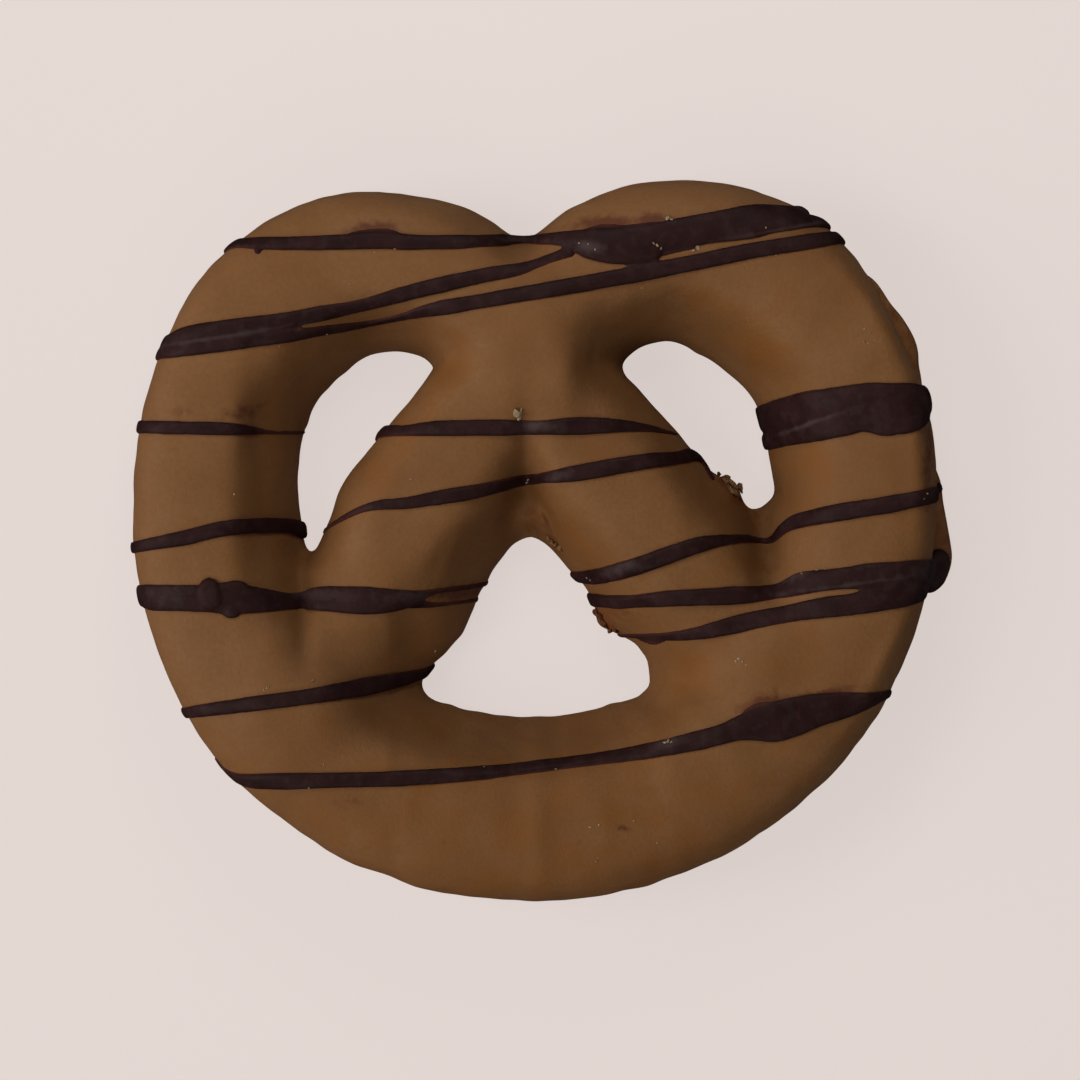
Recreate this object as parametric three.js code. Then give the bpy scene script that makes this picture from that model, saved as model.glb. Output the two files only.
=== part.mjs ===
// A pretzel under a coat of milk chocolate, as one solid. One strand of baked dough runs from the
// left arm's end over the crossing, round the right lobe, along the belly, round the left lobe and
// back over the crossing to the right arm's end. It bakes together wherever it touches itself, so
// there is one body with three holes through it. The coat set on a flat tray, so the underside is flat.
// Millimetres, +Z up, crossing towards +Y, underside on z = 0, centred over the origin.

import * as THREE from "three";

const CELL = 2.42; // spacing of the grid on which the surface is found
const STEPS_PER_STATION = 6; // straight steps between two stations of the strand's mid-line

// The strand's section is a flat-bottomed dome with a straight slope cut off its side. It leans: the crest
// lies off the mid-line, towards the ring's outside, with a square, bulging shoulder there and the slope
// running down to the hole. Where it hardly leans, at the crossing and on the arms, both sides slope.
const SHOULDER_WAIST = 0.42; // height of the widest line over the crest height, under the shoulder
const SLOPE_WAIST = 0.12; // the same, under the slope
const BASE_SHARE = 0.9; // half width on the tray over the half width at the waist
const FOOT_POWER = 2; // below the waist: 2 is an ellipse, more is squarer
const SLOPE_POWER = 2.8; // above the waist, on the slope's side
const SHOULDER_POWER = 3; // above the waist, on the shoulder, at full lean
const FULL_LEAN = 0.24; // how far the crest moves off the mid-line at most, over the half width
const SHOULDER_CLEAR = 9; // how far the shoulder's own slope stands clear of it at full lean
const SLOPE_BREAK = 2.4; // width over which the crown rounds into a slope
// The slope without a lean and at full lean:
const SLOPE_REACH = [1, 1.07]; // half width on the slope's side over the half width
const SLOPE_TOP = [0.5, 0.34]; // where the slope leaves the crown, over the half width
const SLOPE_FOOT = [0.2, 0.08]; // height at which it meets the side, over the crest height

// Where the strand meets itself the coat fills the groove, most where the arms' ends sink into the ring.
const GROOVE_FILL = 2.2;
const END_FILL = 7;
const END_FILL_OUT = [20, 30]; // from no end fill to all of it, as |x| grows
const END_FILL_DOWN = [4, 14]; // and as -y grows
const JOIN_CLEAR = 14; // no fill this near to the middle of the belly, where the halves run on as one
const JOIN_FADE = 12; // full fill this much further out

// Stations along the strand: [x, y, half width, crest height, lean].
const RIGHT_HALF = [
  [-30, -19, 11, 14, 0], // end of the left arm
  [-17.2, 0.8, 12.1, 16, 0.12],
  [-9, 13, 10.9, 16.5, 0.1],
  [-1.5, 24.5, 10.2, 17, 0], // crossing
  [7.5, 35, 10.8, 17, 0.08],
  [19, 38, 11.1, 17, 0.2], // top of the right lobe
  [31.2, 33.3, 12.2, 17, 0.24],
  [38.8, 24.3, 11.4, 17, 0.24],
  [41.7, 12.4, 11.4, 17, 0.24],
  [41.1, 0, 12, 17, 0.22],
  [36.8, -13, 12.7, 17, 0.2],
  [28, -24.8, 13, 17.5, 0.2],
  [14, -34, 12.4, 17.5, 0.2],
];
const BELLY_MIDDLE = [-3, -36.9, 12.3, 17.5, 0.2];
const LEFT_HALF = [
  [-17.5, -33.8, 12.7, 17.5, 0.2],
  [-30, -25.7, 13.2, 17.5, 0.2],
  [-38, -16, 12.8, 17, 0.22],
  [-43.6, -4.1, 12, 17, 0.24],
  [-44.5, 8, 11.3, 17, 0.24],
  [-41.6, 21.5, 11, 17, 0.24],
  [-35, 31, 11.5, 17, 0.2],
  [-24, 36.5, 11, 17, 0.16], // top of the left lobe
  [-12, 34.4, 10.7, 17, 0.08],
  [-2.5, 24, 9.5, 17, 0], // crossing
  [5.2, 12.4, 11.9, 16.5, 0.04],
  [14.8, 0.9, 12.1, 16, 0.04],
  [27.5, -14.8, 11, 14, 0], // end of the right arm
];
// The dough is pressed together at the crossing, so there is no dip beside it.
const PRESSED_CROSSING = [
  [-1.5, 22.5, 10, 16.8, 0],
  [-1.5, 32, 9.2, 16.8, 0],
];

const ONTO_SURFACE_ROUNDS = 4; // Newton steps that bring each vertex onto the true surface
const LEVEL_LAYERS = 2; // layers of grid cells, from the tray up, whose vertices keep their height
const SLOPE_STEP = 0.05; // half the distance over which the field's slope is measured
const COAT = { color: 0x7a5636, roughness: 0.45, metalness: 0 };

// Turns the stations into short straight steps, each with its width, crest and lean at both ends.
function strandSteps(stations) {
  const path = new THREE.CatmullRomCurve3(
    stations.map(([x, y]) => new THREE.Vector3(x, y, 0)), false, "centripetal");
  const section = new THREE.CatmullRomCurve3(
    stations.map(([, , ...sizes]) => new THREE.Vector3(...sizes)), false, "catmullrom");
  const count = (stations.length - 1) * STEPS_PER_STATION;
  const samples = [];
  for (let i = 0; i <= count; i += 1) {
    const { x, y } = path.getPoint(i / count);
    const { x: halfWidth, y: crest, z: lean } = section.getPoint(i / count);
    samples.push({ x, y, halfWidth, crest, lean: Math.max(lean, 0) });
  }
  return samples.slice(1).map((end, i) => ({ start: samples[i], end }));
}

// The step that reaches furthest over (x, y). The place across it runs from -1 at the shoulder, which
// is on the left as the strand runs, to 1 on the slope's side.
function nearestStep(steps, x, y) {
  let best = null;
  for (const { start, end } of steps) {
    const dx = end.x - start.x;
    const dy = end.y - start.y;
    const along = ((x - start.x) * dx + (y - start.y) * dy) / (dx * dx + dy * dy);
    const t = THREE.MathUtils.clamp(along, 0, 1);
    const away = Math.hypot(x - start.x - t * dx, y - start.y - t * dy);
    const halfWidth = THREE.MathUtils.lerp(start.halfWidth, end.halfWidth, t);
    if (best === null || away - halfWidth < best.outside) {
      const side = Math.sign((x - start.x) * dy - (y - start.y) * dx);
      best = {
        outside: away - halfWidth,
        across: side * away / halfWidth,
        halfWidth,
        crest: THREE.MathUtils.lerp(start.crest, end.crest, t),
        lean: THREE.MathUtils.lerp(start.lean, end.lean, t),
      };
    }
  }
  return best;
}

// Below zero inside the leaning dome, above zero outside it.
function domeField(across, { halfWidth, crest, lean }, z) {
  const underSlope = THREE.MathUtils.smoothstep(across, -1, 1);
  const waist = crest * THREE.MathUtils.lerp(SHOULDER_WAIST, SLOPE_WAIST, underSlope);
  const above = z > waist;
  const shifted = above ? across + lean * Math.max(1 - across * across, 0) : across;
  const shoulderPower = THREE.MathUtils.lerp(SLOPE_POWER, SHOULDER_POWER, lean / FULL_LEAN);
  const crownPower = shifted < 0 ? shoulderPower : SLOPE_POWER;
  const power = above ? crownPower : FOOT_POWER;
  const reach = above ? crest - waist : waist / (1 - BASE_SHARE ** power) ** (1 / power);
  const upward = Math.abs(z - waist) / reach;
  return halfWidth * ((Math.abs(shifted) ** power + upward ** power) ** (1 / power) - 1);
}

// Below zero under the slope that falls away as the distance out from the mid-line grows.
function slopeField(out, { halfWidth, crest, lean }, z) {
  const leaning = lean / FULL_LEAN;
  const top = halfWidth * THREE.MathUtils.lerp(...SLOPE_TOP, leaning);
  const run = halfWidth - top;
  const fall = crest * (1 - THREE.MathUtils.lerp(...SLOPE_FOOT, leaning));
  return ((out - top) * fall + (z - crest) * run) / Math.hypot(run, fall);
}

// Joins two fields into one, rounding the groove between them over the given width.
function smoothUnion(a, b, fill) {
  const overlap = Math.max(fill - Math.abs(a - b), 0);
  return Math.min(a, b) - (fill > 0 ? (overlap * overlap) / (4 * fill) : 0);
}

// Below zero inside the whole section: the dome with what lies above its slopes taken off.
function sectionField(place, z) {
  const leaning = place.lean / FULL_LEAN;
  const reach = place.across > 0 ? THREE.MathUtils.lerp(...SLOPE_REACH, leaning) : 1;
  const across = place.across / reach;
  const out = across * place.halfWidth;
  const slope = slopeField(out, place, z);
  const shoulderSlope = slopeField(-out - SHOULDER_CLEAR * leaning, place, z);
  return -smoothUnion(-domeField(across, place, z), -Math.max(slope, shoulderSlope), SLOPE_BREAK);
}

// How far the coat fills the groove between the two halves at (x, y).
function grooveFill(x, y) {
  const towardsEnds = THREE.MathUtils.smoothstep(Math.abs(x), ...END_FILL_OUT)
    * THREE.MathUtils.smoothstep(-y, ...END_FILL_DOWN);
  const fromJoin = Math.hypot(x - BELLY_MIDDLE[0], y - BELLY_MIDDLE[1]) - JOIN_CLEAR;
  const besideJoin = THREE.MathUtils.clamp(fromJoin / JOIN_FADE, 0, 1);
  return besideJoin * THREE.MathUtils.lerp(GROOVE_FILL, END_FILL, towardsEnds);
}

const strand = strandSteps([...RIGHT_HALF, BELLY_MIDDLE, ...LEFT_HALF]);
const rightSteps = strand.slice(0, RIGHT_HALF.length * STEPS_PER_STATION);
const leftSteps = strand.slice(RIGHT_HALF.length * STEPS_PER_STATION);
const crossingSteps = strandSteps(PRESSED_CROSSING);

// The whole pretzel's field, before the flat underside cuts it.
function pretzelField(x, y, z) {
  const [right, left, crossing] = [rightSteps, leftSteps, crossingSteps].map(
    (steps) => sectionField(nearestStep(steps, x, y), z));
  return smoothUnion(smoothUnion(right, left, grooveFill(x, y)), crossing, GROOVE_FILL);
}

// A grid of field values round the strand. The lowest layer of cells straddles z = 0.
function sampleGrid() {
  const ends = strand.map(({ end }) => end);
  const room = 2 * CELL;
  const low = new THREE.Vector3(
    Math.min(...ends.map((e) => e.x - e.halfWidth)) - room,
    Math.min(...ends.map((e) => e.y - e.halfWidth)) - room,
    -CELL / 2);
  const high = new THREE.Vector3(
    Math.max(...ends.map((e) => e.x + e.halfWidth)) + room,
    Math.max(...ends.map((e) => e.y + e.halfWidth)) + room,
    Math.max(...ends.map((e) => e.crest)) + room);
  const count = high.clone().sub(low).divideScalar(CELL).ceil().addScalar(1);
  const values = new Float32Array(count.x * count.y * count.z);
  const index = (i, j, k) => i + count.x * (j + count.y * k);
  for (let j = 0; j < count.y; j += 1) {
    for (let i = 0; i < count.x; i += 1) {
      for (let k = 0; k < count.z; k += 1) {
        const z = low.z + k * CELL;
        values[index(i, j, k)] = Math.max(pretzelField(low.x + i * CELL, low.y + j * CELL, z), -z);
      }
    }
  }
  return { low, count, values, index };
}

const CORNERS = [[0, 0, 0], [1, 0, 0], [0, 1, 0], [1, 1, 0], [0, 0, 1], [1, 0, 1], [0, 1, 1], [1, 1, 1]];
const AXES = [[1, 0, 0], [0, 1, 0], [0, 0, 1]];

// The twelve edges of a cell, as the corners they join.
const CELL_EDGES = CORNERS.flatMap((corner) => AXES
  .map((axis) => [corner, corner.map((c, n) => c + axis[n])])
  .filter(([, far]) => Math.max(...far) === 1));

// Where the surface passes through the edges of one cell, counted in cells along the grid.
function crossingsOf({ values, index }, cell) {
  const crossings = [];
  for (const edge of CELL_EDGES) {
    const [near, far] = edge.map((corner) => corner.map((c, n) => c + cell[n]));
    const from = values[index(...near)];
    const to = values[index(...far)];
    if (from < 0 !== to < 0) {
      crossings.push(new THREE.Vector3(...near).lerp(new THREE.Vector3(...far), from / (from - to)));
    }
  }
  return crossings;
}

// One vertex in each cell that the surface passes through, at the mean of its crossings of the edges.
function cellVertices(grid) {
  const { low, count, index } = grid;
  const vertices = [];
  const vertexOf = new Map();
  for (let k = 0; k < count.z - 1; k += 1) {
    for (let j = 0; j < count.y - 1; j += 1) {
      for (let i = 0; i < count.x - 1; i += 1) {
        const crossings = crossingsOf(grid, [i, j, k]);
        if (crossings.length > 0) {
          const sum = crossings.reduce((total, crossing) => total.add(crossing), new THREE.Vector3());
          vertexOf.set(index(i, j, k), vertices.length);
          vertices.push({ at: sum.multiplyScalar(CELL / crossings.length).add(low), layer: k });
        }
      }
    }
  }
  return { vertices, vertexOf };
}

// Four cells share each grid edge that the surface crosses: their vertices make one quad, faced out.
function quadsAcrossEdges({ count, values, index }, vertexOf) {
  const quads = [];
  for (let k = 0; k < count.z - 1; k += 1) {
    for (let j = 1; j < count.y - 1; j += 1) {
      for (let i = 1; i < count.x - 1; i += 1) {
        AXES.forEach((axis, n) => {
          const from = values[index(i, j, k)];
          const to = values[index(i + axis[0], j + axis[1], k + axis[2])];
          if (from < 0 !== to < 0) {
            const u = AXES[(n + 1) % 3];
            const v = AXES[(n + 2) % 3];
            const vertex = (su, sv) => vertexOf.get(
              index(i - su * u[0] - sv * v[0], j - su * u[1] - sv * v[1], k - su * u[2] - sv * v[2]));
            const quad = [vertex(1, 1), vertex(0, 1), vertex(0, 0), vertex(1, 0)];
            quads.push(from < 0 ? quad : quad.reverse());
          }
        });
      }
    }
  }
  return quads;
}

// The direction in which the field grows at a point, and how fast.
function fieldSlope(at) {
  const along = ([x, y, z]) => {
    const step = new THREE.Vector3(x, y, z).multiplyScalar(SLOPE_STEP);
    return (pretzelField(...at.clone().add(step)) - pretzelField(...at.clone().sub(step))) / (2 * SLOPE_STEP);
  };
  return new THREE.Vector3(...AXES.map(along));
}

// Brings the vertices onto the true surface. The lowest layer lies on the flat underside, where only
// those near its edge move, and the lowest layers move level only, which keeps that edge even.
function settleVertices(vertices) {
  for (const { at, layer } of vertices) {
    if (layer === 0) {
      at.z = 0;
    }
    const underneath = layer === 0 && pretzelField(...at) < -CELL / 2;
    const rounds = underneath ? 0 : ONTO_SURFACE_ROUNDS;
    for (let round = 0; round < rounds; round += 1) {
      const slope = fieldSlope(at);
      if (layer < LEVEL_LAYERS) {
        slope.z = 0;
      }
      at.addScaledVector(slope, -pretzelField(...at) / slope.lengthSq());
    }
  }
}

// Splits each quad along its shorter diagonal.
function trianglesOf(quads, vertices) {
  return quads.flatMap(([a, b, c, d]) => {
    const acrossAC = vertices[a].at.distanceTo(vertices[c].at);
    const acrossBD = vertices[b].at.distanceTo(vertices[d].at);
    return acrossAC < acrossBD ? [a, b, c, a, c, d] : [a, b, d, b, c, d];
  });
}

function pretzelGeometry() {
  const grid = sampleGrid();
  const { vertices, vertexOf } = cellVertices(grid);
  const quads = quadsAcrossEdges(grid, vertexOf);
  settleVertices(vertices);
  const geometry = new THREE.BufferGeometry();
  geometry.setAttribute("position", new THREE.Float32BufferAttribute(vertices.flatMap(({ at }) => [...at]), 3));
  geometry.setIndex(trianglesOf(quads, vertices));
  geometry.computeBoundingBox();
  const middle = geometry.boundingBox.getCenter(new THREE.Vector3());
  geometry.translate(-middle.x, -middle.y, 0);
  geometry.computeVertexNormals();
  return geometry;
}

const pretzel = new THREE.Mesh(pretzelGeometry(), new THREE.MeshStandardMaterial(COAT));
pretzel.name = "pretzel";

const part = new THREE.Group();
part.add(pretzel);

export default part;
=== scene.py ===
"""A chocolate-drizzled pretzel: its milk coat, the dark drizzle over it, and the crumbs that stuck to it.

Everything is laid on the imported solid, which lies on the table, the plane z = 0. A place on the pretzel is
(across, up): shares of half its width and half its depth, counted from the middle of its box, as the camera
overhead sees them. Lengths are in millimetres until they reach a mesh, and turns are in degrees.
"""

import math
import random

import bmesh
import bpy
import numpy as np
from mathutils import Euler, Matrix, Vector, noise
from mathutils.bvhtree import BVHTree

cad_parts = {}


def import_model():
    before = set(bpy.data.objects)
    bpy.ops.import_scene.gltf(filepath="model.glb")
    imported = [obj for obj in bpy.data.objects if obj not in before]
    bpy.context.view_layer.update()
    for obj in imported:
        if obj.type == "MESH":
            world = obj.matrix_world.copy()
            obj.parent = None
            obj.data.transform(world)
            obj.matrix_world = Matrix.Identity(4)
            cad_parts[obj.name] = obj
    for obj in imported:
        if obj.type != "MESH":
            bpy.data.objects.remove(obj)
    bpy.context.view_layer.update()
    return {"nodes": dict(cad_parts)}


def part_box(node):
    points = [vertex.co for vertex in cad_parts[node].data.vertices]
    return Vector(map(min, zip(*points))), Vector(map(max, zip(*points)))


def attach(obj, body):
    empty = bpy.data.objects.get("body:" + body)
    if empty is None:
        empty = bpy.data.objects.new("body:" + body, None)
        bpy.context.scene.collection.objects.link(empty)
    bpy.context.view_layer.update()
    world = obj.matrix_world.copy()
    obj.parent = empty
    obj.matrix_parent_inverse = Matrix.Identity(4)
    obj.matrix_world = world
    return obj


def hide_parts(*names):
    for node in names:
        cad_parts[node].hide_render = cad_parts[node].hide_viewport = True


MM = 0.001
NODE = "pretzel"
SEED = 11
NOISE_SHIFT = (7.3, 3.1, 5.7)  # how far the noise of one seed lies from the next one's

# ---- the camera, which also says where a share lies ----
CAMERA_HEIGHT = 607
CAMERA_SIDE_STEP = (1.02, 0.14)
LENS = 147
SENSOR = 36
SHARE_LEVEL = 7.2  # height of the level plane on which the shares are laid out

# ---- the coat's shape ----
WELD = 0.001  # points nearer to each other than this become one
QUAD_ANGLE = 0.7  # radians between two triangles that may become one quad
QUAD_SKEW = 1.2  # radians by which its corners may stray
ROUNDING_STEPS = 2
# where the walls stand in or out a little: (across, up, reach, move right, move up)
NUDGES = [
    (-0.39, 1.0, 12, 0, -0.4),  # the tops of the lobes
    (0.42, 1.0, 12, 0, -0.25),
    (-1.0, 0.17, 9, 0.45, 0),  # the left side
    (-0.97, -0.11, 8, 0.5, 0),
    (-0.5, -0.86, 14, 0.15, 0.4),  # the belly
    (0.2, -0.97, 16, 0, 0.4),
    (0.83, 0.76, 7, -0.5, -0.4),  # the right lobe over the foot
    (0.92, 0.57, 6, -1.0, -0.3),
    (0.592, 0.15, 3.5, 0.9, 0),  # the right hole's side and its lower end
    (0.545, 0.06, 3, 0, 1.6),
    (0.594, 0.112, 1.6, 0.5, -0.4),
    (-0.014, 0.02, 3, 0, -1.2),  # the triangle's top
    (0.047, -0.004, 1.8, 0.6, 0.9),
    (-0.21, -0.26, 4, 1.5, -0.3),  # the triangle's left side
    (-0.23, -0.45, 3, -0.2, -0.4),  # the triangle's left corner
    (0.28, -0.42, 2.6, 0.6, -0.9),  # the triangle's right corner
    (0.02, -0.5, 10, 0, 0.6),  # the triangle's bottom
    (-0.26, -0.43, 2.2, -0.5, -0.3),  # the left corner's tip
    (0.29, -0.37, 2.4, -0.7, 0),  # over the right corner
    (0.185, -0.222, 2.2, -1.7, -1.3),  # the torn ledge at the triangle's right side
    (0.048, -0.014, 1.6, -0.35, -0.5),  # the ledge by the triangle's top
    (0.497, 0.145, 1.9, 1.3, 0.9),  # the ledge in the right hole
    (-0.577, 0.93, 5, -0.25, 0.3),  # the left lobe's shoulder
    (-0.552, 0.0, 2.2, 0, -2.2),  # the left hole's lower end
    (-0.51, 0.06, 2.6, 0.9, 0),  # the left hole's right side
]
# hollows and ridges: (across, up, turn, half length, half width, height)
DENTS = [
    (-0.014, 0.23, 90, 4.5, 1.2, -1.3),  # the crease between the arms
    (-0.022, 0.11, 80, 3.5, 1.5, -2.2),
    (-0.086, 0.1, 30, 4.2, 0.9, 0.35),  # the crest beside the crease's lower end, and its slope
    (-0.075, 0.04, 30, 4.5, 2.0, -0.9),
    (-0.192, -0.136, 46, 9, 3.2, -1.6),  # the left arm's long slope to the triangle
    (-0.359, -0.241, 95, 3, 0.8, 0.3),
    (-0.295, -0.272, 95, 3, 2.2, -1.5),
    (-0.316, -0.385, 45, 5, 5, -2.0),  # round the triangle's left corner
    (-0.334, -0.485, 20, 3.5, 2, -1.4),
    (0.168, 0.562, 36, 5, 2.8, -1.3),  # beside the right hole's upper end
    (0.083, 0.487, 80, 4.5, 2.0, 1.0),  # the crest left of that slope
    (0.113, 0.495, 80, 4.5, 1.6, 1.1),
    (0.06, 0.55, 80, 4, 2.6, 0.8),
    (-0.03, 0.57, 80, 6, 4.5, 0.4),
    (0.16, 0.598, 0, 2.4, 1.8, -0.6),
    (0.58, 0.003, 105, 5, 1.3, -1.3),  # where the right arm sinks into the ring
    (0.6, -0.05, 100, 4, 1.8, -0.8),
    (0.675, -0.27, 90, 6, 3, -0.6),
    (-0.585, -0.163, 90, 6, 2.2, -0.9),  # where the left arm does
    (-0.572, -0.06, 92, 4, 1.4, -1.2),
    (-0.572, -0.135, 92, 5, 1.0, -1.9),
    (-0.51, -0.05, 90, 5, 2.2, -1.5),
    (-0.65, -0.274, 90, 7, 3.5, 0.9),  # the swell below the left arm's end
    (-0.62, -0.55, 60, 7, 4, 0.5),
    (0.478, 0.1, -50, 5, 2.2, -0.8),  # the right arm's slope to its hole
    (0.366, 0.197, 0, 3, 2.2, -0.35),
    (0.793, 0.687, 0, 2.2, 2.2, -0.35),  # the right lobe's upper right
    (0.82, 0.512, 20, 3.5, 1.5, 0.35),
    (-0.728, 0.13, 90, 10, 1.3, 0.25),  # the left lobe's crest and its slope to the hole
    (-0.675, 0.13, 90, 10, 1.8, -1.4),
    (-0.719, 0.28, 90, 4, 1.2, 0.2),
    (-0.662, 0.3, 90, 4, 1.8, -1.2),
    (0.97, 0.2, 90, 12, 6, 1.1),  # the right lobe's full outer side
    (0.92, 0.58, 120, 10, 7, 1.6),
    (0.93, -0.27, 70, 9, 6, 0.9),
    (0.967, 0.2, 95, 10, 1.3, 0.8),
    (0.895, -0.3, 62, 8, 1.2, 0.8),
    (0.87, 0.61, 122, 7, 1.6, 0.7),
    (0.91, 0.57, 118, 6, 1.5, 1.0),
    (-0.009, 0.119, 60, 2.2, 1.6, -1.1),  # the hollow over the triangle's top
    (0.004, 0.047, -65, 1.9, 1.0, 3.4),  # the torn flap under that hollow, and the groove beside it
    (0.043, 0.058, -65, 2.0, 0.5, -3.0),
    (-0.21, -0.042, 65, 2.5, 0.7, 0.3),  # wrinkles on the left arm
    (-0.23, -0.053, 65, 2.5, 0.7, -0.25),
    (0.014, -0.828, 94, 7, 1.1, 0.2),  # folds across the belly
    (0.187, -0.786, 94, 6, 1.3, 0.15),
    (0.351, -0.745, 94, 6, 1.5, 0.15),
    (-0.175, -0.814, 90, 5, 1.6, 0.13),
    (-0.309, -0.773, 90, 3, 0.8, 0.1),
    (-0.359, -0.579, 92, 3, 0.8, 0.18),
    (-0.681, -0.474, 92, 3, 1.4, 0.2),
    (-0.637, -0.767, 40, 1.5, 1.0, -0.4),  # notches in the rim
    (0.316, -0.916, 10, 1.5, 1.0, -0.4),
]
RELIEF_STARTS = 2.5  # height from which the relief is whole, so that the edge on the table stays put
# each layer of unevenness: (size of a lump across, its height)
LUMPS = [(17, 0.28), (7, 0.14), (2.6, 0.04)]
RIPPLE_SIZE = 6.5
RIPPLE_LENGTH = 30
RIPPLE_HEIGHT = 0.25
RIPPLE_SEED = 9
RIPPLES_FROM = -0.05  # the share up at which the ripples begin, and the one at which they are whole
RIPPLES_FULL = -0.5
WALL_LUMP_SIZE = 3.2
WALL_LUMP_HEIGHT = 0.16
WALL_LUMP_SEED = 5

# ---- where the coat and the drizzle change colour ----
MARKS_FROM = 2  # height above the table at which these marks show in full
# where the coat is thin and the dough warms it, and where some rows are painted shade: (across, up, turn,
# half length, half width, amount)
THIN_COAT_AND_SHADE = [
    (-0.2, 0.46, 60, 4, 2, 0.8),
    (-0.36, 0.2, 50, 5, 1.6, 0.8),
    (0.565, 0.53, -45, 5, 3, 1.0),
    (0.44, 0.665, -25, 4, 1.6, 0.9),
    # by the right hole: the thin coat's warmer colour, also painting the shade near the hole's edge
    (0.62, 0.24, -80, 5, 2.2, 0.8),
    (0.68, 0.2, -80, 6, 3, 0.7),
    (0.65, -0.27, 80, 6, 3, 0.7),
    (0.1, -0.01, -50, 5, 2, 0.9),
    (0.51, -0.08, 60, 3, 2, 0.5),
    (0.39, -0.36, 40, 5, 2.5, 0.8),
    (0.17, -0.06, -50, 5, 1.5, 0.6),
    (0.02, 0.1, -60, 3, 2, 0.8),
    (-0.1, -0.5, 0, 12, 2.5, 0.5),
    (0.3, 0.58, 20, 5, 2, 0.5),
    # painted shade: the belly darker towards its lower rim
    (0.05, -0.77, 0, 33, 10, 0.65),
    (0.02, -0.96, 0, 30, 4, 0.95),
]
# where the coat broke away and left it red-brown, as above
TORN = [
    (0.557, 0.075, 60, 1.8, 1.2, 0.5),
    (0.175, -0.187, -10, 2.8, 0.9, 1.0),
    (0.175, -0.218, -55, 2.6, 0.9, 1.2),
    (0.49, 0.148, -50, 2.6, 0.7, 1.0),
    (0.05, 0.0, -60, 1.6, 0.5, 0.7),
    (0.006, 0.053, -65, 1.8, 1.3, 0.6),
]
# where dark chocolate was wiped over the coat, as above
SMEARS = [
    (-0.72, 0.357, 15, 2.0, 0.8, 0.8),  # over the left upper line
    (-0.86, 0.36, 10, 2.2, 0.6, 0.35),
    (-0.19, -0.146, 4, 5, 0.8, 0.9),  # between the two left lower lines
    (0.175, 0.879, 4, 2.7, 0.7, 1.2),  # over the top line
    (0.297, 0.89, 8, 1.7, 0.6, 1.2),
    (-0.395, 0.861, 4, 2.4, 0.8, 1.2),
    (0.575, -0.451, 14, 2.2, 0.9, 1.2),  # over the bottom line's pool
    (0.715, -0.426, 10, 3.5, 0.4, 1.1),
    (0.982, 0.23, 88, 4.5, 0.5, 0.8),  # on the right lobe's outer wall
    (-0.448, -0.723, 10, 1.6, 0.6, 0.45),  # spots on the belly
    (0.225, -0.795, 0, 0.55, 0.35, 1.1),
    (0.12, -0.836, 0, 0.16, 0.16, 1.2),
    (-0.217, -0.834, 0, 0.14, 0.14, 1.2),
]
# where the drizzle has a dull grey bloom, and painted highlights along the grooves where two lines run
# together, as above
BLOOMS_AND_HIGHLIGHTS = [
    (0.14, 0.817, -15, 1.3, 0.5, 1.3),
    (-0.763, 0.567, 9, 8, 0.22, 0.9),
    (0.68, 0.322, 20, 3.2, 0.2, 0.9),
    (-0.56, -0.141, 0, 2.4, 0.8, 0.6),
    (0.006, 0.318, 0, 1.8, 0.5, 0.8),
    (0.068, 0.18, 15, 1.4, 0.4, 0.8),
    (0.639, -0.095, 15, 1.6, 0.6, 0.7),
    (0.217, -0.08, 20, 1.8, 0.5, 0.8),
    (0.81, -0.118, 8, 6, 0.2, 0.7),
    (0.335, -0.556, 15, 1.2, 0.6, 0.9),
    (-0.03, 0.833, 0, 2, 0.4, 0.6),
    (0.64, 0.867, 10, 5, 0.2, 0.8),
    (-0.9, -0.14, 0, 1.4, 0.9, 0.5),
    (-0.31, -0.155, 0, 3, 0.5, 0.5),
    # a painted highlight on the glossy drop on the foot
    (1.0, -0.07, 90, 2.5, 2, 0.6),  # the drop on the foot
]

# ---- strips: the foot and each line of the drizzle is one ----
ROUTE_SPLITS = 24  # points from one row of a route to the next
ROUTE_STEP = 0.35
ROUTE_SMOOTHING = 3
FEWEST_ROWS = 4
SECTION_POINTS = 13
SECTION_POWER = 3
# across a strip's section: each point's place from side to side, and its rise
SECTION_OFFSETS = np.cos(np.linspace(math.pi, 0, SECTION_POINTS))
SECTION_RISES = (1 - np.abs(SECTION_OFFSETS) ** SECTION_POWER) ** (1 / SECTION_POWER)
WIDTH_CHANGE = 0.07  # share by which a strip's width sways
WIDTH_CHANGE_LENGTH = 5
SMALLEST_END = 0.02  # the square of the share of its size that a strip keeps at its very end

# ---- the foot: coat that ran out onto the table ----
# its route from the upper end down: (across, up, width)
FOOT = [
    (0.79, 0.77, 1.8), (0.82, 0.73, 2.2), (0.843, 0.692, 2.6), (0.857, 0.659, 3.2), (0.872, 0.626, 3.8),
    (0.896, 0.587, 3.8), (0.913, 0.554, 3.7), (0.925, 0.523, 3.4), (0.932, 0.487, 2.9), (0.944, 0.451, 2.5),
    (0.957, 0.39, 2.2), (0.971, 0.313, 2.2), (0.978, 0.205, 2.4), (0.988, 0.155, 3.0), (0.992, 0.108, 3.2),
    (1.0, 0.03, 3.5), (1.007, -0.044, 4.2), (1.003, -0.089, 4.0), (0.987, -0.127, 3.0),
    (0.967, -0.161, 1.6),
]
FOOT_HEIGHT = 2.2
FOOT_LIFT = 0.05  # keeps its underside from lying in the coat's
FOOT_TUCK = 6  # how much wider it is than its rows say, inwards under the coat
FOOT_SEED = 3

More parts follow.
